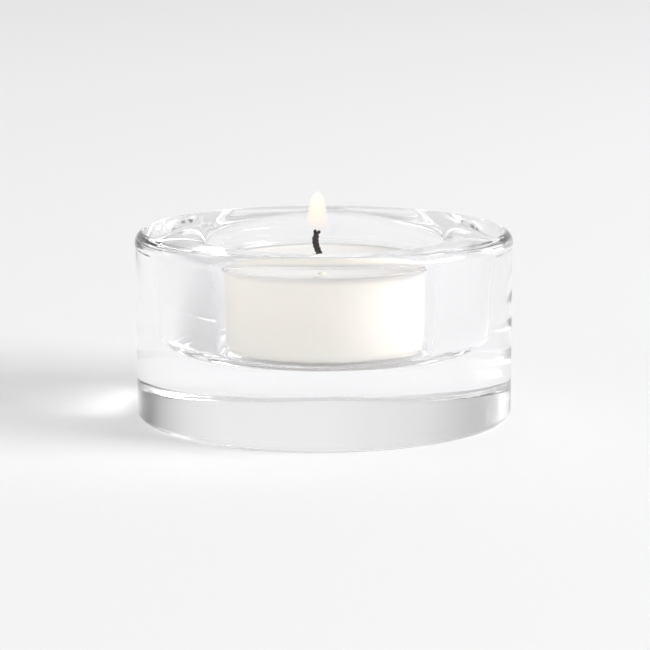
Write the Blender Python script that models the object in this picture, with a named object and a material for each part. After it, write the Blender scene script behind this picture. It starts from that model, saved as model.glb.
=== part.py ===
"""A thick clear glass tealight holder, with a tealight standing in its pocket.

Run with: blender --background --python part.py
Metres, +Z up. The origin is the centre of the holder's foot, on the surface it stands on.
The tealight (cup, wax, sustainer and wick) is parented to one empty and lifts out along +Z.
"""

import math

import bmesh
import bpy
from mathutils import Vector

# The tealight's clear cup: the standard size that the pocket is made for.
CUP_RADIUS = 0.01925
CUP_HEIGHT = 0.0175
CUP_WALL = 0.0005
CUP_FLOOR = 0.0006
CUP_DRAFT = 0.0003
CUP_CORNER = 0.0030
CUP_LIP_RADIUS = 0.0003
CUP_FOOT_WIDTH = 0.0040
CUP_FOOT_HOLLOW = 0.0004

# The glass holder.
HOLDER_RADIUS = 0.03525
HOLDER_HEIGHT = 0.0349
RIM_BULGE = 0.00015
RIM_BEAD_RADIUS = 0.0021
RIM_NECK_RADIUS = 0.0040
MOUTH_ROUND_WIDTH = 0.0105
MOUTH_ROUND_DROP = 0.0026
POCKET_FLOOR_HEIGHT = 0.0125
POCKET_CLEARANCE = 0.0013
POCKET_DRAFT = 0.0011
POCKET_CORNER = 0.0026
HEEL_RADIUS = 0.0012

# The wax, with the shallow pool that a lit wick melts in it.
WAX_BELOW_LIP = 0.0011
WAX_EDGE_ROUND = 0.0026
POOL_RADIUS = 0.0160
POOL_DEPTH = 0.0006

# The braided wick: upright in the wax, then bent to one side and back at its tip.
WICK_RADIUS = 0.00062
WICK_ABOVE_WAX = 0.0055
WICK_BEND = 0.0016
WICK_BEND_LENGTH = 0.0033
WICK_BEND_BELOW_TIP = 0.0020

# The pressed steel sustainer that holds the wick upright on the cup's floor.
SUSTAINER_RADIUS = 0.0065
SUSTAINER_SHEET = 0.0004
SUSTAINER_NECK_HEIGHT = 0.0040
SUSTAINER_NECK_FILLET = 0.0006

# Pieces that touch keep this gap, because meshes hold 32-bit numbers.
SEAT_GAP = 0.0003

HOLDER_STEPS = 72
TEALIGHT_STEPS = 56
SUSTAINER_STEPS = 32
WICK_SIDES = 10
WICK_RINGS = 28
ARC_STEPS = 5
POOL_STEPS = 6
SMOOTH_BELOW = math.radians(40)

# Heights and radii that follow from the sizes above.
CUP_BOTTOM = POCKET_FLOOR_HEIGHT + SEAT_GAP
CUP_TOP = CUP_BOTTOM + CUP_HEIGHT
CUP_INSIDE_FLOOR = CUP_BOTTOM + CUP_FLOOR
CUP_BASE_RADIUS = CUP_RADIUS - CUP_DRAFT
CUP_LIP_CENTRE = CUP_RADIUS - CUP_WALL + CUP_LIP_RADIUS
POCKET_FLOOR_RADIUS = CUP_RADIUS + POCKET_CLEARANCE
POCKET_MOUTH_RADIUS = POCKET_FLOOR_RADIUS + POCKET_DRAFT
SUSTAINER_BOTTOM = CUP_INSIDE_FLOOR + SEAT_GAP
SUSTAINER_TOP = SUSTAINER_BOTTOM + SUSTAINER_SHEET + SUSTAINER_NECK_HEIGHT
SUSTAINER_BORE = WICK_RADIUS + SEAT_GAP
SUSTAINER_NECK = SUSTAINER_BORE + SUSTAINER_SHEET
WAX_BOTTOM = CUP_INSIDE_FLOOR + SEAT_GAP
WAX_TOP = CUP_TOP - WAX_BELOW_LIP
WICK_TIP = WAX_TOP + WICK_ABOVE_WAX


def arc(centre_r, centre_z, radius, start_deg, end_deg, steps=ARC_STEPS, radius_z=None):
    """Points (radius, height) of an arc in the profile plane; 0 degrees points outwards, 90 up."""
    tall = radius if radius_z is None else radius_z
    points = []
    for i in range(steps + 1):
        angle = math.radians(start_deg + (end_deg - start_deg) * i / steps)
        points.append((centre_r + radius * math.cos(angle), centre_z + tall * math.sin(angle)))
    return points


def cup_inside_radius(height):
    """The cup's inner wall leans out by its draft from the bottom to the top."""
    share = (height - CUP_BOTTOM) / CUP_HEIGHT
    return CUP_BASE_RADIUS - CUP_WALL + CUP_DRAFT * share


def wick_bend(height):
    """How far the wick's centreline stands off the axis, towards -X, at a height."""
    from_peak = (height - (WICK_TIP - WICK_BEND_BELOW_TIP)) / WICK_BEND_LENGTH
    return -WICK_BEND * math.exp(-from_peak * from_peak)


def wick_path(start, end):
    points = []
    for i in range(WICK_RINGS + 1):
        height = start + (end - start) * i / WICK_RINGS
        points.append(Vector((wick_bend(height), 0.0, height)))
    return points


def material(name, colour, roughness, metallic=0.0, transmission=0.0, ior=1.5):
    made = bpy.data.materials.new(name)
    made.use_nodes = True
    shader = made.node_tree.nodes["Principled BSDF"]
    shader.inputs["Base Color"].default_value = (*colour, 1.0)
    shader.inputs["Roughness"].default_value = roughness
    shader.inputs["Metallic"].default_value = metallic
    shader.inputs["Transmission Weight"].default_value = transmission
    shader.inputs["IOR"].default_value = ior
    return made


def add_object(name, mesh, look, parent):
    made = bpy.data.objects.new(name, mesh)
    bpy.context.scene.collection.objects.link(made)
    if look:
        mesh.materials.append(look)
    made.parent = parent
    return made


def turned(name, profile, look, parent, steps, closed=False):
    """A body of revolution, whose profile runs down its outer side.

    The profile's ends lie on the axis, or closed joins them around a bore.
    """
    corners = [(radius, 0.0, height) for radius, height in profile]
    edges = [(i, i + 1) for i in range(len(corners) - 1)]
    if closed:
        edges.append((len(corners) - 1, 0))
    mesh = bpy.data.meshes.new(name)
    mesh.from_pydata(corners, edges, [])
    made = add_object(name, mesh, look, parent)
    screw = made.modifiers.new("Turn", "SCREW")
    screw.axis = "Z"
    screw.angle = math.tau
    screw.steps = steps
    screw.render_steps = steps
    screw.use_merge_vertices = True
    screw.merge_threshold = 0.00001
    screw.use_smooth_shade = True
    return made


def tube(name, path, radius, look, parent):
    """A closed round tube along a path in the XZ plane, made ring by ring."""
    side = Vector((0.0, 1.0, 0.0))
    shape = bmesh.new()
    rings = []
    for i, point in enumerate(path):
        along = (path[min(i + 1, len(path) - 1)] - path[max(i - 1, 0)]).normalized()
        across = side.cross(along)
        ring = []
        for k in range(WICK_SIDES):
            turn = math.tau * k / WICK_SIDES
            offset = across * math.cos(turn) + side * math.sin(turn)
            ring.append(shape.verts.new(point + radius * offset))
        rings.append(ring)
    for low, high in zip(rings, rings[1:]):
        for k in range(WICK_SIDES):
            after = (k + 1) % WICK_SIDES
            shape.faces.new((low[k], low[after], high[after], high[k]))
    shape.faces.new(rings[0])
    shape.faces.new(rings[-1])
    bmesh.ops.recalc_face_normals(shape, faces=shape.faces)
    mesh = bpy.data.meshes.new(name)
    shape.to_mesh(mesh)
    shape.free()
    mesh.shade_smooth()
    mesh.set_sharp_from_angle(angle=SMOOTH_BELOW)
    return add_object(name, mesh, look, parent)


def rim_profile():
    """From the pocket's mouth over its broad soft edge and the bead, and in under the bead to the wall."""
    mouth_centre = POCKET_MOUTH_RADIUS + MOUTH_ROUND_WIDTH
    bead_r = HOLDER_RADIUS + RIM_BULGE - RIM_BEAD_RADIUS
    bead_z = HOLDER_HEIGHT - RIM_BEAD_RADIUS
    # The hollow neck meets both the bead and the wall without a corner.
    reach = RIM_BEAD_RADIUS + RIM_NECK_RADIUS
    under = math.acos((reach - RIM_BULGE) / reach)
    neck_z = bead_z - reach * math.sin(under)
    under_deg = math.degrees(under)
    mouth_z = HOLDER_HEIGHT - MOUTH_ROUND_DROP
    mouth_width = min(mouth_centre, bead_r) - POCKET_MOUTH_RADIUS
    profile = arc(
        POCKET_MOUTH_RADIUS + mouth_width, mouth_z, mouth_width, 180, 90, 2 * ARC_STEPS, MOUTH_ROUND_DROP
    )
    profile += arc(bead_r, bead_z, RIM_BEAD_RADIUS, 90, -under_deg, 2 * ARC_STEPS)
    profile += arc(HOLDER_RADIUS + RIM_NECK_RADIUS, neck_z, RIM_NECK_RADIUS, 180 - under_deg, 180)[1:]
    return profile


def foot_profile():
    """The rounded heel and the flat ground foot that the holder stands on."""
    profile = arc(HOLDER_RADIUS - HEEL_RADIUS, HEEL_RADIUS, HEEL_RADIUS, 0, -90)
    profile.append((0.0, 0.0))
    return profile


def holder_profile():
    corner_r = POCKET_FLOOR_RADIUS - POCKET_CORNER
    corner_z = POCKET_FLOOR_HEIGHT + POCKET_CORNER
    profile = [(0.0, POCKET_FLOOR_HEIGHT)]
    profile += arc(corner_r, corner_z, POCKET_CORNER, -90, 0)
    profile += rim_profile()
    profile += foot_profile()
    return profile


def cup_profile():
    """The thin clear cup: a beaded lip, a rounded bottom corner and a slightly raised centre."""
    lip_z = CUP_TOP - CUP_LIP_RADIUS
    inner_corner = CUP_CORNER - CUP_WALL
    inner_z = CUP_INSIDE_FLOOR + inner_corner
    foot_r = CUP_BASE_RADIUS - CUP_CORNER
    hollow_r = foot_r - CUP_FOOT_WIDTH
    profile = [(0.0, CUP_INSIDE_FLOOR)]
    profile += arc(cup_inside_radius(inner_z) - inner_corner, inner_z, inner_corner, -90, 0)
    profile += arc(CUP_LIP_CENTRE, lip_z, CUP_LIP_RADIUS, 180, -60, 2 * ARC_STEPS)
    profile.append((CUP_RADIUS, CUP_TOP - 3 * CUP_LIP_RADIUS))
    profile += arc(foot_r, CUP_BOTTOM + CUP_CORNER, CUP_CORNER, 0, -90)
    profile.append((hollow_r, CUP_BOTTOM))
    profile.append((hollow_r - CUP_FOOT_HOLLOW, CUP_BOTTOM + CUP_FOOT_HOLLOW))
    profile.append((0.0, CUP_BOTTOM + CUP_FOOT_HOLLOW))
    return profile


def wax_profile():
    """The wax in the cup: a shallow pool on top, and a recess below that clears the sustainer."""
    rim_r = cup_inside_radius(WAX_TOP) - SEAT_GAP
    base_r = cup_inside_radius(WAX_BOTTOM) - SEAT_GAP
    recess_r = SUSTAINER_RADIUS + SEAT_GAP
    recess_z = SUSTAINER_BOTTOM + SUSTAINER_SHEET + SEAT_GAP
    neck_r = SUSTAINER_NECK + SEAT_GAP
    fillet_z = recess_z + SUSTAINER_NECK_FILLET
    profile = []
    for i in range(POOL_STEPS + 1):
        share = i / POOL_STEPS
        depth = POOL_DEPTH * (1.0 + math.cos(math.pi * share)) / 2.0
        profile.append((POOL_RADIUS * share, WAX_TOP - depth))
    profile.append((rim_r, WAX_TOP))
    profile += arc(base_r - WAX_EDGE_ROUND, WAX_BOTTOM + WAX_EDGE_ROUND, WAX_EDGE_ROUND, 0, -90)
    profile.append((recess_r, WAX_BOTTOM))
    profile.append((recess_r, recess_z))
    profile.append((neck_r + SUSTAINER_NECK_FILLET, recess_z))
    profile.append((neck_r, fillet_z))
    profile.append((neck_r, SUSTAINER_TOP + SEAT_GAP))
    profile.append((0.0, SUSTAINER_TOP + SEAT_GAP))
    return profile


def sustainer_profile():
    """One sheet of steel: the disc and the neck drawn up from it, joined by a fillet."""
    disc_top = SUSTAINER_BOTTOM + SUSTAINER_SHEET
    fillet_r = SUSTAINER_NECK + SUSTAINER_NECK_FILLET
    fillet_z = disc_top + SUSTAINER_NECK_FILLET
    profile = [(SUSTAINER_BORE, SUSTAINER_TOP), (SUSTAINER_NECK, SUSTAINER_TOP)]
    profile += arc(fillet_r, fillet_z, SUSTAINER_NECK_FILLET, 180, 270, ARC_STEPS - 2)
    profile.append((SUSTAINER_RADIUS, disc_top))
    profile.append((SUSTAINER_RADIUS, SUSTAINER_BOTTOM))
    profile.append((SUSTAINER_BORE, SUSTAINER_BOTTOM))
    return profile


def bore_for_wick(wax, parent):
    """The wax is cut along the wick's own path, from the sustainer's recess out through the pool."""
    recess_top = SUSTAINER_TOP + SEAT_GAP
    path = wick_path(recess_top - SEAT_GAP, WICK_TIP)
    cutter = tube("wick_bore_cutter", path, WICK_RADIUS + SEAT_GAP, None, parent)
    cutter.hide_render = True
    cutter.display_type = "WIRE"
    cut = wax.modifiers.new("Wick bore", "BOOLEAN")
    cut.operation = "DIFFERENCE"
    cut.solver = "EXACT"
    cut.object = cutter


def build():
    for old in list(bpy.data.objects):
        bpy.data.objects.remove(old, do_unlink=True)

    glass = material("clear_glass", (0.97, 0.985, 0.99), 0.02, transmission=1.0, ior=1.52)
    clear_cup = material("clear_plastic", (0.96, 0.96, 0.95), 0.08, transmission=1.0, ior=1.49)
    wax_white = material("white_wax", (0.93, 0.91, 0.87), 0.45)
    steel = material("pressed_steel", (0.62, 0.62, 0.60), 0.35, metallic=1.0)
    char = material("charred_cotton", (0.035, 0.03, 0.028), 0.9)

    # The tealight rests in the pocket and lifts straight up from here.
    tealight = bpy.data.objects.new("tealight", None)
    tealight.location = (0.0, 0.0, 0.0)
    bpy.context.scene.collection.objects.link(tealight)

    turned("glass_holder", holder_profile(), glass, None, HOLDER_STEPS)
    turned("tealight_cup", cup_profile(), clear_cup, tealight, TEALIGHT_STEPS)
    turned("wick_sustainer", sustainer_profile(), steel, tealight, SUSTAINER_STEPS, closed=True)
    tube("wick", wick_path(SUSTAINER_BOTTOM, WICK_TIP), WICK_RADIUS, char, tealight)
    wax = turned("wax_fill", wax_profile(), wax_white, tealight, TEALIGHT_STEPS)
    bore_for_wick(wax, tealight)


build()
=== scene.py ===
"""The glass tealight holder's looks: clear fire-polished glass, a lit tealight and studio light."""

import math

import bpy
import bmesh
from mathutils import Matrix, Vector


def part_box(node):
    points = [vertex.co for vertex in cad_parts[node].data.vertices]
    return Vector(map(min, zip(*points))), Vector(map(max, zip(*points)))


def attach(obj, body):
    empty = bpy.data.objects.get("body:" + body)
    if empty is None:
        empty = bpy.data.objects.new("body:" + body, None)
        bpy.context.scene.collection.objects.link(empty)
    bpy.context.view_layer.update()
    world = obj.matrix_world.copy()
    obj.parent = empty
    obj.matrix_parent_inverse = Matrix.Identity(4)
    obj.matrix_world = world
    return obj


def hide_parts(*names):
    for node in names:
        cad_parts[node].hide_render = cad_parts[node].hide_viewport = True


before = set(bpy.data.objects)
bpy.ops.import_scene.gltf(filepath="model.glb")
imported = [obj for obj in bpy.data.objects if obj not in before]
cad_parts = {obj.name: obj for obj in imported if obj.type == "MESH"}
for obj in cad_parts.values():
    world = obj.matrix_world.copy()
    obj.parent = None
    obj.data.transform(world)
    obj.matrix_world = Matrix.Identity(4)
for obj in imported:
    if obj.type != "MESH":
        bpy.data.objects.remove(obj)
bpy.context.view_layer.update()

MM = 0.001

# ---------------------------------------------------------------- sizes read from the frame
HOLDER_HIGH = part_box("glass_holder")[1]
CUP_LOW, CUP_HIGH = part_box("tealight_cup")
WAX_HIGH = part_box("wax_fill")[1]
WICK_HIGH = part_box("wick")[1]

RIM_RADIUS = HOLDER_HIGH.x
RIM_TOP = HOLDER_HIGH.z
CUP_LIP = CUP_HIGH.x
CUP_TOP = CUP_HIGH.z
CUP_BOTTOM = CUP_LOW.z
WAX_TOP = WAX_HIGH.z
WICK_TIP = WICK_HIGH.z

# ---------------------------------------------------------------- the glass, as part.py shapes it
RIM_BULGE = 0.15 * MM
RIM_BEAD = 2.1 * MM
RIM_NECK = 4.0 * MM
WALL_RADIUS = RIM_RADIUS - RIM_BULGE
MOUTH_WIDTH = 10.5 * MM
MOUTH_DROP = 2.6 * MM
MOUTH_RADIUS = 21.65 * MM
POCKET_RADIUS = 20.55 * MM
POCKET_FLOOR = CUP_BOTTOM - 0.3 * MM
POCKET_CORNER = 2.6 * MM
HEEL = 1.2 * MM
GLASS_AROUND = 256
GLASS_ARC = 14
GLASS_LONGEST = 1.2 * MM
EVEN_BELOW = 0.5 * MM
RIPPLE_SCALE = 55.0
RIPPLE_STRENGTH = 0.12
RIPPLE_DEPTH = 0.0005

# ---------------------------------------------------------------- the tealight
CUP_WALL = 0.5 * MM
CUP_FLOOR = 0.6 * MM
CUP_DRAFT = 0.3 * MM
CUP_CORNER = 3.0 * MM
CUP_LIP_BEAD = 0.3 * MM
CUP_FOOT_HOLLOW = 0.4 * MM
CUP_FOOT_WIDTH = 4.0 * MM
CUP_AROUND = 192
CUP_RADIUS = CUP_LIP + CUP_WALL - 2 * CUP_LIP_BEAD
WAX_SKIN_GAP = -0.05 * MM
WAX_EDGE = 2.55 * MM
WAX_TOP_DROP = 0.2 * MM
WAX_TOP_STEPS = 40
WAX_LONGEST = 1.5 * MM
MENISCUS_HEIGHT = 0.45 * MM
MENISCUS_REACH = 1.1 * MM
POOL_DEPTH = 0.6 * MM
POOL_RADIUS = 16.0 * MM
MELTED_DEPTH = 1.3 * MM

WICK_BEND = 1.6 * MM
WICK_BEND_LENGTH = 3.3 * MM
WICK_BEND_BELOW_TIP = 2.0 * MM
WICK_IN_WAX = 2.0 * MM
SOAKED_HEIGHT = 0.8 * MM
CHARRED_HEIGHT = 1.15 * MM
STRAND_RADIUS = 0.31 * MM
STRAND_WEAVE = 0.34 * MM
STRAND_RINGS = 120
STRAND_SIDES = 12
STRAND_ENDS = (0.05 * MM, 0.25 * MM, 1.0 * MM)
BRAID_PITCH = 2.2 * MM
SPLAY = (-0.42 * MM, 0.46 * MM, 0.05 * MM)
SPLAY_LENGTH = 1.5 * MM

FLAME_BOTTOM = WICK_TIP - 0.5 * MM
FLAME_TOP = WICK_TIP + 7.3 * MM
FLAME_BODY = 1.2 * MM
FLAME_POINT = 0.75 * MM
FLAME_SPREAD = 0.16
FLAME_FOOT = 2.2 * MM
FLAME_RINGS = 48
FLAME_AROUND = 48
FLAME_SHELLS = 8
FLAME_INNERMOST = 0.3
FLAME_SHELL_COVER = 0.20
FLAME_TIP_STEP = 1.6 * MM
FLAME_SIDE = -1.2 * MM
FLAME_GLOW = 1.12

# ---------------------------------------------------------------- the camera
CAMERA_BACK = 509 * MM
CAMERA_UP = 109.4 * MM
CAMERA_SIDE = 0.19 * MM
CAMERA_PITCH = math.radians(10.32)
CAMERA_LENS = 152.0
CAMERA_SENSOR = 36.0
CAMERA_CLIP_START = 0.01

# ---------------------------------------------------------------- the studio
# Wall brightness by azimuth in degrees: 0 is straight behind the object, 90 is to its right.
WALL_IN_FRONT = 0.75
WALLS = (
    (0, 0.84), (22, 0.84), (34, 0.74), (46, 0.50), (57, 0.14), (64, 0.07), (74, 0.09), (83, 0.8),
    (95, 1.4), (140, 1.4), (160, 0.75), (200, 0.95), (225, 1.25),
    (270, 1.25), (290, 1.0), (305, 0.48), (322, 0.52), (340, 0.74),
)
WALL_SCALE = 2.0
WALL_TOP = math.radians(24)
CEILING_FROM = math.radians(38)
CEILING = 0.70
KEY_AZIMUTH = 103.5
KEY_ELEVATION = 21.0
KEY_DISTANCE = 2.4
KEY_WIDTH = 1.40
KEY_HEIGHT = 0.80
KEY_POWER = 44.0

FLOOR_RADIUS = 4.0
FLOOR_SIDES = 96
FLOOR_DROP = 0.00002


def arc(centre_r, centre_z, radius, start_deg, end_deg, steps, radius_z=None):
    """Points (radius, height) along an arc in the profile plane; 0 degrees is outwards, 90 is up."""
    tall = radius if radius_z is None else radius_z
    points = []
    for i in range(steps + 1):
        angle = math.radians(start_deg + (end_deg - start_deg) * i / steps)
        points.append((centre_r + radius * math.cos(angle), centre_z + tall * math.sin(angle)))
    return points


def refine(profile, longest):
    """Splits a profile's long straight runs, so that the surface can be shaped between its corners."""
    fine = [profile[0]]
    for (r0, z0), (r1, z1) in zip(profile, profile[1:]):
        parts = max(1, math.ceil(math.hypot(r1 - r0, z1 - z0) / longest))
        for i in range(1, parts + 1):
            fine.append((r0 + (r1 - r0) * i / parts, z0 + (z1 - z0) * i / parts))
    return fine


def turned(name, profile, around, shift=None):
    """A closed body of revolution whose profile runs from the axis, down its outer side and back."""
    shape = bmesh.new()
    rings = []
    for radius, height in profile:
        if radius < 1e-7:
            rings.append([shape.verts.new((0.0, 0.0, height))])
            continue
        ring = []
        for k in range(around):
            turn = math.tau * k / around
            dr, dz = shift(turn, radius, height) if shift else (0.0, 0.0)
            at = radius + dr
            ring.append(shape.verts.new((at * math.cos(turn), at * math.sin(turn), height + dz)))
        rings.append(ring)
    for upper, lower in zip(rings, rings[1:]):
        for k in range(around):
            after = (k + 1) % around
            corners = [upper[k % len(upper)], lower[k % len(lower)]]
            corners += [lower[after % len(lower)], upper[after % len(upper)]]
            shape.faces.new(list(dict.fromkeys(corners)))
    mesh = bpy.data.meshes.new(name)
    bmesh.ops.recalc_face_normals(shape, faces=shape.faces)
    shape.to_mesh(mesh)
    shape.free()
    mesh.shade_smooth()
    made = bpy.data.objects.new(name, mesh)
    bpy.context.scene.collection.objects.link(made)
    return made


# ---------------------------------------------------------------- glass
def holder_profile():
    """From the pocket's middle, up its side, over the mouth, bead and neck, and down to the foot."""
    corner_r = POCKET_RADIUS - POCKET_CORNER
    profile = [(0.0, POCKET_FLOOR)]
    profile += arc(corner_r, POCKET_FLOOR + POCKET_CORNER, POCKET_CORNER, -90, 0, GLASS_ARC)
    mouth_r = MOUTH_RADIUS + MOUTH_WIDTH
    profile += arc(mouth_r, RIM_TOP - MOUTH_DROP, MOUTH_WIDTH, 180, 90, 2 * GLASS_ARC, MOUTH_DROP)
    bead_r = RIM_RADIUS - RIM_BEAD
    bead_z = RIM_TOP - RIM_BEAD
    reach = RIM_BEAD + RIM_NECK
    under = math.acos((reach - RIM_BULGE) / reach)
    under_deg = math.degrees(under)
    profile += arc(bead_r, bead_z, RIM_BEAD, 90, -under_deg, 2 * GLASS_ARC)
    neck_z = bead_z - reach * math.sin(under)
    profile += arc(WALL_RADIUS + RIM_NECK, neck_z, RIM_NECK, 180 - under_deg, 180, GLASS_ARC // 2)[1:]
    profile += arc(WALL_RADIUS - HEEL, HEEL, HEEL, 0, -90, GLASS_ARC)
    profile.append((0.0, 0.0))
    return refine(profile, GLASS_LONGEST)


def fire_polish(turn, radius, height):
    """The faint unevenness of pressed glass, in the radius and, near the rim, in the height.

    Each term is a wave: its size in mm, its lobes around the glass, its twist with height, its phase.
    """
    if height < EVEN_BELOW:
        return 0.0, 0.0
    z = height / RIM_TOP
    slow = 0.05 * math.sin(2 * turn + 0.6) + 0.04 * math.sin(3 * turn + 2.0 * z + 1.1)
    quick = 0.02 * math.sin(7 * turn + 5.0 * z) + 0.012 * math.sin(11 * turn - 9.0 * z + 0.4)
    rim = 0.06 * math.sin(2 * turn + 2.4) + 0.03 * math.sin(5 * turn + 0.3)
    return (slow + quick) * MM * min(1.0, radius / POCKET_RADIUS), rim * MM * z ** 4


def glass_material(name, colour, ior, roughness):
    """Clear glass or plastic with a faint ripple in its surface."""
    made = bpy.data.materials.new(name)
    made.use_nodes = True
    nodes, links = made.node_tree.nodes, made.node_tree.links
    shader = nodes["Principled BSDF"]
    shader.inputs["Base Color"].default_value = (*colour, 1.0)
    shader.inputs["Roughness"].default_value = roughness
    shader.inputs["IOR"].default_value = ior
    shader.inputs["Transmission Weight"].default_value = 1.0
    place = nodes.new("ShaderNodeTexCoord")
    ripple = nodes.new("ShaderNodeTexNoise")
    ripple.inputs["Scale"].default_value = RIPPLE_SCALE
    ripple.inputs["Detail"].default_value = 1.0
    links.new(place.outputs["Object"], ripple.inputs["Vector"])
    bump = nodes.new("ShaderNodeBump")
    bump.inputs["Strength"].default_value = RIPPLE_STRENGTH
    bump.inputs["Distance"].default_value = RIPPLE_DEPTH
    links.new(ripple.outputs["Fac"], bump.inputs["Height"])
    links.new(bump.outputs["Normal"], shader.inputs["Normal"])
    return made


def make_holder():
    holder = turned("holder_glass", holder_profile(), GLASS_AROUND, fire_polish)
    glass = glass_material("Fire polished glass", (0.987, 0.987, 1.0), 1.5, 0.0)
    holder.data.materials.append(glass)
    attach(holder, "holder")
    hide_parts("glass_holder")


# ---------------------------------------------------------------- tealight cup and wax
def cup_inside(height):
    """The cup wall's inner radius at a height, with its draft."""
    share = (height - CUP_BOTTOM) / (CUP_TOP - CUP_BOTTOM)
    return CUP_RADIUS - CUP_DRAFT - CUP_WALL + CUP_DRAFT * share


def cup_profile():
    floor_z = CUP_BOTTOM + CUP_FLOOR
    inner = CUP_CORNER - CUP_WALL
    lip_z = CUP_TOP - CUP_LIP_BEAD
    base = CUP_RADIUS - CUP_DRAFT
    hollow_r = base - CUP_CORNER - CUP_FOOT_WIDTH
    profile = [(0.0, floor_z)]
    profile += arc(cup_inside(floor_z + inner) - inner, floor_z + inner, inner, -90, 0, 8)
    profile += arc(CUP_RADIUS - CUP_WALL + CUP_LIP_BEAD, lip_z, CUP_LIP_BEAD, 180, -60, 16)
    profile.append((CUP_RADIUS, CUP_TOP - 3 * CUP_LIP_BEAD))
    profile += arc(base - CUP_CORNER, CUP_BOTTOM + CUP_CORNER, CUP_CORNER, 0, -90, 10)
    profile.append((hollow_r, CUP_BOTTOM))
    profile.append((hollow_r - CUP_FOOT_HOLLOW, CUP_BOTTOM + CUP_FOOT_HOLLOW))
    profile.append((0.0, CUP_BOTTOM + CUP_FOOT_HOLLOW))
    return profile


def make_cup():
    cup = turned("clear_cup", cup_profile(), CUP_AROUND)
    plastic = glass_material("Clear moulded plastic", (0.998, 0.998, 0.995), 1.49, 0.02)
    cup.data.materials.append(plastic)
    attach(cup, "tealight")
    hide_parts("tealight_cup")


def wax_profile():
    floor_z = CUP_BOTTOM + CUP_FLOOR + WAX_SKIN_GAP
    rim_r = cup_inside(WAX_TOP) - WAX_SKIN_GAP
    base_r = cup_inside(floor_z) - WAX_SKIN_GAP
    profile = []
    for i in range(WAX_TOP_STEPS + 1):
        r = rim_r * i / WAX_TOP_STEPS
        pool = POOL_DEPTH * (1.0 + math.cos(math.pi * min(1.0, r / POOL_RADIUS))) / 2.0
        climb = MENISCUS_HEIGHT * max(0.0, 1.0 - (rim_r - r) / MENISCUS_REACH) ** 2
        profile.append((r, WAX_TOP - pool + climb - WAX_TOP_DROP))
    profile += arc(base_r - WAX_EDGE, floor_z + WAX_EDGE, WAX_EDGE, 0, -90, 8)
    profile.append((0.0, floor_z))
    return refine(profile, WAX_LONGEST)


def wax_material():
    """Pale wax with light scattered inside it, a faint painted glow all over in place of light falling
    on it, and a slightly greyer melted top.
    """
    made = bpy.data.materials.new("White paraffin wax")
    made.use_nodes = True
    nodes, links = made.node_tree.nodes, made.node_tree.links
    shader = nodes["Principled BSDF"]
    shader.inputs["Roughness"].default_value = 0.5
    shader.inputs["IOR"].default_value = 1.43
    shader.inputs["Specular IOR Level"].default_value = 0.2
    shader.inputs["Subsurface Weight"].default_value = 0.6
    shader.inputs["Subsurface Radius"].default_value = (1.0, 0.85, 0.7)
    shader.inputs["Subsurface Scale"].default_value = 0.004
    # Painted glow: a faint emission brightens the whole wax, standing in for light that falls on it.
    shader.inputs["Emission Color"].default_value = (1.0, 0.965, 0.90, 1.0)
    shader.inputs["Emission Strength"].default_value = 0.07
    place = nodes.new("ShaderNodeTexCoord")
    split = nodes.new("ShaderNodeSeparateXYZ")
    links.new(place.outputs["Object"], split.inputs["Vector"])
    melted = nodes.new("ShaderNodeMapRange")
    melted.inputs["From Min"].default_value = WAX_TOP - MELTED_DEPTH
    melted.inputs["From Max"].default_value = WAX_TOP - POOL_DEPTH
    links.new(split.outputs["Z"], melted.inputs["Value"])
    mix = nodes.new("ShaderNodeMix")
    mix.data_type = "RGBA"
    mix.inputs["A"].default_value = (0.94, 0.915, 0.87, 1.0)
    mix.inputs["B"].default_value = (0.82, 0.805, 0.785, 1.0)
    links.new(melted.outputs["Result"], mix.inputs["Factor"])
    links.new(mix.outputs["Result"], shader.inputs["Base Color"])
    return made


def make_wax():
    wax = turned("wax_block", wax_profile(), CUP_AROUND)
    wax.data.materials.append(wax_material())
    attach(wax, "tealight")
    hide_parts("wax_fill")


# ---------------------------------------------------------------- wick, sustainer and flame
def wick_bend(height):
    """How far the wick leans towards -X at a height."""
    from_peak = (height - (WICK_TIP - WICK_BEND_BELOW_TIP)) / WICK_BEND_LENGTH
    return -WICK_BEND * math.exp(-from_peak * from_peak)


def flat_material(name, colour, roughness, metallic=0.0):
    made = bpy.data.materials.new(name)
    made.use_nodes = True
    shader = made.node_tree.nodes["Principled BSDF"]
    shader.inputs["Base Color"].default_value = (*colour, 1.0)
    shader.inputs["Roughness"].default_value = roughness
    shader.inputs["Metallic"].default_value = metallic
    return made


def smooth_step(low, high, value):
    share = max(0.0, min(1.0, (value - low) / (high - low)))
    return share * share * (3.0 - 2.0 * share)


def strand_path(number, bottom, top):
    """One strand of the plait, which leaves it near the tip, where the charred strands spread."""
    phase = math.tau * number / 3
    points = []
    for i in range(STRAND_RINGS + 1):
        height = bottom + (top - bottom) * i / STRAND_RINGS
        turn = math.tau * height / BRAID_PITCH + phase
        across = STRAND_WEAVE * math.sin(turn)
        along = 0.55 * STRAND_WEAVE * math.sin(2.0 * turn)
        spread = smooth_step(WICK_TIP - SPLAY_LENGTH, WICK_TIP, height)
        across += (SPLAY[number] - across) * spread
        points.append(Vector((wick_bend(height) + across, along, height)))
    return points


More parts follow.
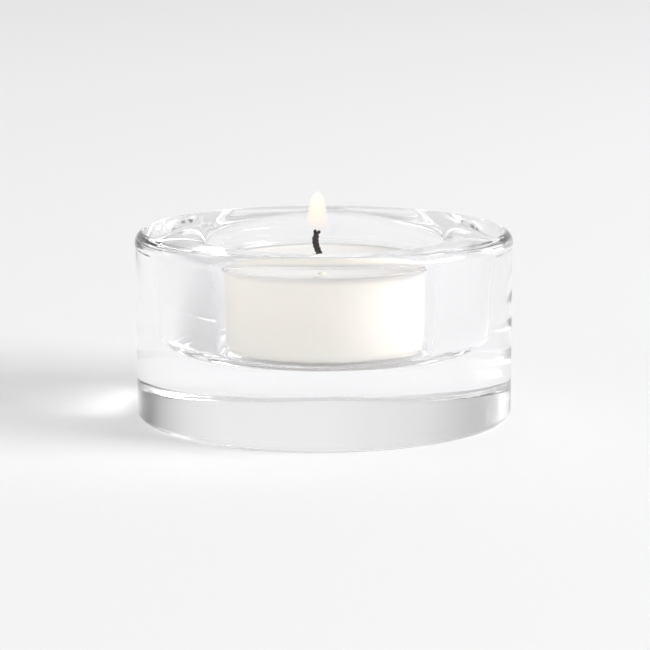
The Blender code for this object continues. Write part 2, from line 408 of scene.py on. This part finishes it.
def swept(name, path, radius, sides):
    """A closed tube along a path, with a rounded end at its top."""
    shape = bmesh.new()
    rings = []
    side = Vector((0.0, 1.0, 0.0))
    for i, point in enumerate(path):
        along = (path[min(i + 1, len(path) - 1)] - path[max(i - 1, 0)]).normalized()
        across = side.cross(along).normalized()
        outward = along.cross(across)
        to_end = min(1.0, (path[-1] - point).length / radius)
        width = radius * max(0.25, math.sqrt(1.0 - (1.0 - to_end) ** 2))
        ring = []
        for k in range(sides):
            turn = math.tau * k / sides
            offset = across * math.cos(turn) + outward * math.sin(turn)
            ring.append(shape.verts.new(point + width * offset))
        rings.append(ring)
    for low, high in zip(rings, rings[1:]):
        for k in range(sides):
            after = (k + 1) % sides
            shape.faces.new((low[k], low[after], high[after], high[k]))
    shape.faces.new(rings[0])
    shape.faces.new(rings[-1])
    bmesh.ops.recalc_face_normals(shape, faces=shape.faces)
    mesh = bpy.data.meshes.new(name)
    shape.to_mesh(mesh)
    shape.free()
    mesh.shade_smooth()
    made = bpy.data.objects.new(name, mesh)
    bpy.context.scene.collection.objects.link(made)
    return made


def wick_material():
    """Charred cotton, which turns to pale wax-soaked cotton just above the wax."""
    made = flat_material("Charred cotton", (0.03, 0.026, 0.024), 0.8)
    nodes, links = made.node_tree.nodes, made.node_tree.links
    shader = nodes["Principled BSDF"]
    place = nodes.new("ShaderNodeTexCoord")
    split = nodes.new("ShaderNodeSeparateXYZ")
    links.new(place.outputs["Object"], split.inputs["Vector"])
    burnt = nodes.new("ShaderNodeMapRange")
    burnt.inputs["From Min"].default_value = WAX_TOP + SOAKED_HEIGHT
    burnt.inputs["From Max"].default_value = WAX_TOP + CHARRED_HEIGHT
    links.new(split.outputs["Z"], burnt.inputs["Value"])
    fibres = nodes.new("ShaderNodeTexNoise")
    fibres.inputs["Scale"].default_value = 4500.0
    fibres.inputs["Detail"].default_value = 3.0
    links.new(place.outputs["Object"], fibres.inputs["Vector"])
    char = nodes.new("ShaderNodeValToRGB")
    char.color_ramp.elements[0].position = 0.35
    char.color_ramp.elements[0].color = (0.008, 0.007, 0.007, 1.0)
    char.color_ramp.elements[1].position = 0.7
    char.color_ramp.elements[1].color = (0.09, 0.08, 0.075, 1.0)
    links.new(fibres.outputs["Fac"], char.inputs["Fac"])
    mix = nodes.new("ShaderNodeMix")
    mix.data_type = "RGBA"
    mix.inputs["A"].default_value = (0.82, 0.78, 0.70, 1.0)
    links.new(burnt.outputs["Result"], mix.inputs["Factor"])
    links.new(char.outputs["Color"], mix.inputs["B"])
    links.new(mix.outputs["Result"], shader.inputs["Base Color"])
    bump = nodes.new("ShaderNodeBump")
    bump.inputs["Strength"].default_value = 0.6
    bump.inputs["Distance"].default_value = 0.00006
    links.new(fibres.outputs["Fac"], bump.inputs["Height"])
    links.new(bump.outputs["Normal"], shader.inputs["Normal"])
    return made


def make_wick():
    char = wick_material()
    bottom = WAX_TOP - WICK_IN_WAX
    for number in range(3):
        top = WICK_TIP - STRAND_ENDS[number]
        path = strand_path(number, bottom, top)
        strand = swept(f"wick_strand_{number + 1}", path, STRAND_RADIUS, STRAND_SIDES)
        strand.data.materials.append(char)
        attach(strand, "tealight")
        if number == 0:
            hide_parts("wick")


def make_sustainer_look():
    steel = flat_material("Tinned steel", (0.62, 0.62, 0.60), 0.35, metallic=1.0)
    nodes, links = steel.node_tree.nodes, steel.node_tree.links
    place = nodes.new("ShaderNodeTexCoord")
    rolled = nodes.new("ShaderNodeTexNoise")
    rolled.inputs["Scale"].default_value = 900.0
    links.new(place.outputs["Object"], rolled.inputs["Vector"])
    spread = nodes.new("ShaderNodeMapRange")
    spread.inputs["To Min"].default_value = 0.25
    spread.inputs["To Max"].default_value = 0.5
    links.new(rolled.outputs["Fac"], spread.inputs["Value"])
    links.new(spread.outputs["Result"], nodes["Principled BSDF"].inputs["Roughness"])
    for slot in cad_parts["wick_sustainer"].material_slots:
        slot.material = steel


# ---------------------------------------------------------------- flame
def flame_profile(size):
    """A soft point, sides that spread a little and a rounded foot.

    A layer of a smaller size is narrower, and its tip stands lower.
    """
    length = FLAME_TOP - FLAME_BOTTOM
    profile = []
    for i in range(FLAME_RINGS + 1):
        drop = length * smooth_step(0.0, 1.0, i / FLAME_RINGS)
        width = FLAME_BODY * (1.0 - math.exp(-drop / FLAME_POINT)) + FLAME_SPREAD * drop
        into_foot = max(0.0, 1.0 - (length - drop) / FLAME_FOOT)
        radius = size * width * math.sqrt(1.0 - into_foot ** 2)
        height = FLAME_TOP - drop - FLAME_TIP_STEP * (1.0 - size) * (1.0 - drop / length)
        profile.append((radius, height))
    return profile


def flame_material():
    """A thin glowing layer, which fades out towards the wick."""
    made = bpy.data.materials.new("Candle flame")
    made.use_nodes = True
    nodes, links = made.node_tree.nodes, made.node_tree.links
    nodes.remove(nodes["Principled BSDF"])
    place = nodes.new("ShaderNodeTexCoord")
    split = nodes.new("ShaderNodeSeparateXYZ")
    links.new(place.outputs["Object"], split.inputs["Vector"])
    rise = nodes.new("ShaderNodeMapRange")
    rise.inputs["From Min"].default_value = FLAME_BOTTOM
    rise.inputs["From Max"].default_value = FLAME_TOP
    links.new(split.outputs["Z"], rise.inputs["Value"])
    colour = nodes.new("ShaderNodeValToRGB")
    colour.color_ramp.elements[0].color = (1.0, 0.78, 0.70, 1.0)
    colour.color_ramp.elements[1].color = (0.97, 0.96, 0.90, 1.0)
    colour.color_ramp.elements.new(0.5).color = (0.98, 0.91, 0.76, 1.0)
    links.new(rise.outputs["Result"], colour.inputs["Fac"])
    body = nodes.new("ShaderNodeValToRGB")
    body.color_ramp.interpolation = "EASE"
    body.color_ramp.elements[0].position = 0.02
    body.color_ramp.elements[0].color = (0.0, 0.0, 0.0, 1.0)
    body.color_ramp.elements[1].position = 0.66
    body.color_ramp.elements[1].color = (FLAME_SHELL_COVER,) * 3 + (1.0,)
    links.new(rise.outputs["Result"], body.inputs["Fac"])
    glow = nodes.new("ShaderNodeEmission")
    glow.inputs["Strength"].default_value = FLAME_GLOW
    links.new(colour.outputs["Color"], glow.inputs["Color"])
    clear = nodes.new("ShaderNodeBsdfTransparent")
    mix = nodes.new("ShaderNodeMixShader")
    links.new(body.outputs["Color"], mix.inputs["Fac"])
    links.new(clear.outputs["BSDF"], mix.inputs[1])
    links.new(glow.outputs["Emission"], mix.inputs[2])
    links.new(mix.outputs["Shader"], nodes["Material Output"].inputs["Surface"])
    return made


def make_flame():
    """Nested thin layers, so that the flame is densest along its middle and soft at its edge."""
    glow = flame_material()
    for i in range(FLAME_SHELLS):
        size = 1.0 - (1.0 - FLAME_INNERMOST) * i / (FLAME_SHELLS - 1)
        flame = turned(f"flame_layer_{i + 1}", flame_profile(size), FLAME_AROUND)
        flame.location.x = FLAME_SIDE
        flame.data.materials.append(glow)
        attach(flame, "tealight")


# ---------------------------------------------------------------- studio
def floor_material():
    made = flat_material("Pale floor", (0.9, 0.9, 0.9), 1.0)
    made.node_tree.nodes["Principled BSDF"].inputs["Specular IOR Level"].default_value = 0.0
    return made


def make_floor():
    shape = bmesh.new()
    bmesh.ops.create_circle(shape, cap_ends=True, segments=FLOOR_SIDES, radius=FLOOR_RADIUS)
    mesh = bpy.data.meshes.new("floor")
    shape.to_mesh(mesh)
    shape.free()
    floor = bpy.data.objects.new("floor", mesh)
    bpy.context.scene.collection.objects.link(floor)
    floor.location.z = -FLOOR_DROP
    mesh.materials.append(floor_material())


def area_light(name, place, target, width, height, power):
    data = bpy.data.lights.new(name, "AREA")
    data.shape = "RECTANGLE"
    data.size = width
    data.size_y = height
    data.energy = power
    lamp = bpy.data.objects.new(name, data)
    lamp.location = place
    lamp.rotation_euler = (Vector(target) - Vector(place)).to_track_quat("-Z", "Y").to_euler()
    bpy.context.scene.collection.objects.link(lamp)


def spot_on_ramp(azimuth):
    """Where an azimuth lies on the ramp: 0 degrees is straight behind the object, 90 to its right."""
    return ((azimuth + 180.0) % 360.0) / 360.0


def studio_world():
    """White studio walls with darker gaps in them, under a bright ceiling."""
    world = bpy.data.worlds.new("studio")
    world.use_nodes = True
    nodes, links = world.node_tree.nodes, world.node_tree.links
    place = nodes.new("ShaderNodeTexCoord")
    split = nodes.new("ShaderNodeSeparateXYZ")
    links.new(place.outputs["Generated"], split.inputs["Vector"])
    around = nodes.new("ShaderNodeMath")
    around.operation = "ARCTAN2"
    links.new(split.outputs["X"], around.inputs[0])
    links.new(split.outputs["Y"], around.inputs[1])
    along = nodes.new("ShaderNodeMapRange")
    along.inputs["From Min"].default_value = -math.pi
    along.inputs["From Max"].default_value = math.pi
    links.new(around.outputs["Value"], along.inputs["Value"])
    walls = nodes.new("ShaderNodeValToRGB")
    stops = sorted((spot_on_ramp(azimuth), level) for azimuth, level in WALLS)
    walls.color_ramp.interpolation = "LINEAR"
    walls.color_ramp.elements[0].position = 0.0
    walls.color_ramp.elements[1].position = 1.0
    for end in walls.color_ramp.elements:
        end.color = (WALL_IN_FRONT / WALL_SCALE,) * 3 + (1.0,)
    for position, level in stops:
        stop = walls.color_ramp.elements.new(position)
        stop.color = (level / WALL_SCALE,) * 3 + (1.0,)
    links.new(along.outputs["Result"], walls.inputs["Fac"])
    up = nodes.new("ShaderNodeMapRange")
    up.interpolation_type = "SMOOTHSTEP"
    up.inputs["From Min"].default_value = math.sin(WALL_TOP)
    up.inputs["From Max"].default_value = math.sin(CEILING_FROM)
    links.new(split.outputs["Z"], up.inputs["Value"])
    mix = nodes.new("ShaderNodeMix")
    mix.data_type = "RGBA"
    mix.inputs["B"].default_value = (CEILING / WALL_SCALE,) * 3 + (1.0,)
    links.new(up.outputs["Result"], mix.inputs["Factor"])
    links.new(walls.outputs["Color"], mix.inputs["A"])
    links.new(mix.outputs["Result"], nodes["Background"].inputs["Color"])
    nodes["Background"].inputs["Strength"].default_value = WALL_SCALE
    bpy.context.scene.world = world


def around_object(azimuth, elevation, distance):
    """A place that far from the object, by the same azimuths as the walls."""
    az, el = math.radians(azimuth), math.radians(elevation)
    flat = distance * math.cos(el)
    return (flat * math.sin(az), flat * math.cos(az), distance * math.sin(el))


def make_lights():
    studio_world()
    place = around_object(KEY_AZIMUTH, KEY_ELEVATION, KEY_DISTANCE)
    area_light("key_right", place, (0.0, 0.0, 0.5 * RIM_TOP), KEY_WIDTH, KEY_HEIGHT, KEY_POWER)


def make_camera():
    data = bpy.data.cameras.new("camera")
    data.lens = CAMERA_LENS
    data.sensor_width = CAMERA_SENSOR
    data.clip_start = CAMERA_CLIP_START
    camera = bpy.data.objects.new("camera", data)
    camera.location = (CAMERA_SIDE, -CAMERA_BACK, CAMERA_UP)
    camera.rotation_euler = (math.pi / 2 - CAMERA_PITCH, 0.0, 0.0)
    bpy.context.scene.collection.objects.link(camera)
    bpy.context.scene.camera = camera


def light_paths():
    cycles = bpy.context.scene.cycles
    cycles.max_bounces = 24
    cycles.transmission_bounces = 24
    cycles.glossy_bounces = 12
    cycles.transparent_max_bounces = 32
    cycles.blur_glossy = 0.0


make_camera()
make_floor()
make_lights()
make_holder()
make_cup()
make_wax()
make_wick()
make_sustainer_look()
make_flame()
light_paths()
bpy.context.scene.view_settings.view_transform = "Standard"
